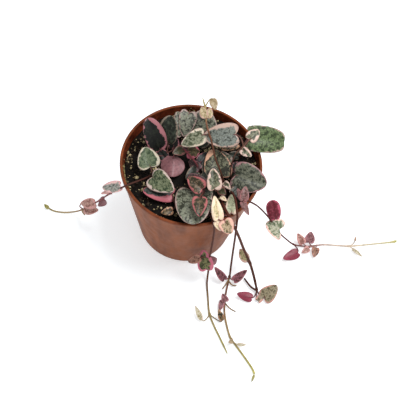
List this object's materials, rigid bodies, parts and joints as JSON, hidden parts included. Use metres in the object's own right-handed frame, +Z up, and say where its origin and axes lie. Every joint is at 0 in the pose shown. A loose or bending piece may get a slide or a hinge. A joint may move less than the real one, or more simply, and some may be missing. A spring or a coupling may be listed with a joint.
{
  "type": "potted string of hearts",
  "caption": "Variegated string of hearts in a small terracotta-coloured nursery pot: marbled heart-shaped leaves crowd the soil, and thin stems trail over the rim onto the table.",
  "frame": {"origin": "middle of the pot's flat bottom, on the table", "axes": "+Z up out of the pot; -Y is the front that the picture looks at from above, +X to the right"},
  "size_m": [0.2807, 0.1723, 0.1168],
  "materials": {
    "pot": "smooth moulded polypropylene, satin",
    "soil": "moist dark peat with a few white and cream grains",
    "foliage": "thick waxy leaves, grey-green marbled with silver, cream and pink margins"
  },
  "bodies": {
    "root": {"pot": "pot", "soil": "soil", "left_trail": "foliage", "west_leaves": "foliage", "south_west_leaves": "foliage", "north_west_leaves": "foliage", "north_leaves": "foliage", "pink_sprig": "foliage", "top_vine": "foliage", "right_sprig": "foliage", "east_leaves": "foliage", "south_east_leaves": "foliage", "centre_sprig": "foliage", "south_leaves": "foliage", "cream_sprig": "foliage", "front_trail_left": "foliage", "front_trail_middle": "foliage", "front_trail_right": "foliage", "right_trail": "foliage"}
  },
  "joints": []
}
